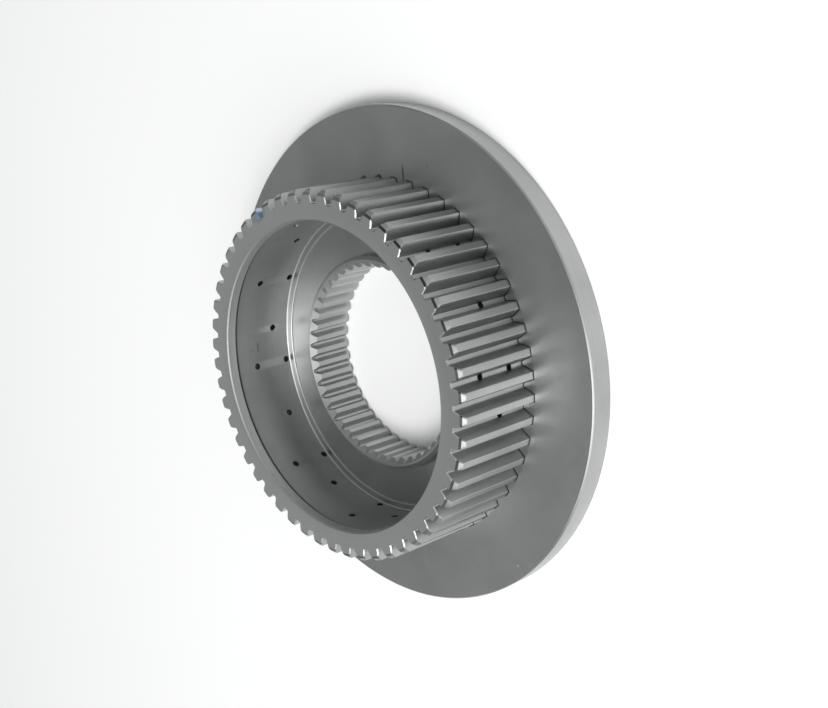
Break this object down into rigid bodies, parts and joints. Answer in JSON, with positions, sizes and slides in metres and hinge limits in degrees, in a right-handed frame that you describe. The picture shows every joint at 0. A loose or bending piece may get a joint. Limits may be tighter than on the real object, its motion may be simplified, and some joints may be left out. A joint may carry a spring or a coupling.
{
  "type": "flanged gear hub",
  "caption": "Flanged clutch hub: open drum with straight outer teeth and radial oil holes, stepped web and a boss with an inner spline.",
  "frame": {"origin": "centre of the flange's flat back face, on the gear's axis", "axes": "+Z along the gear's axis from the flange's back face to the mouth of the drum; +X through the middle of an outer tooth gap and of a spline gap"},
  "size_m": [0.298, 0.298, 0.07],
  "materials": {
    "steel": "machined, satin"
  },
  "bodies": {
    "root": {"gear": "steel"}
  },
  "joints": []
}
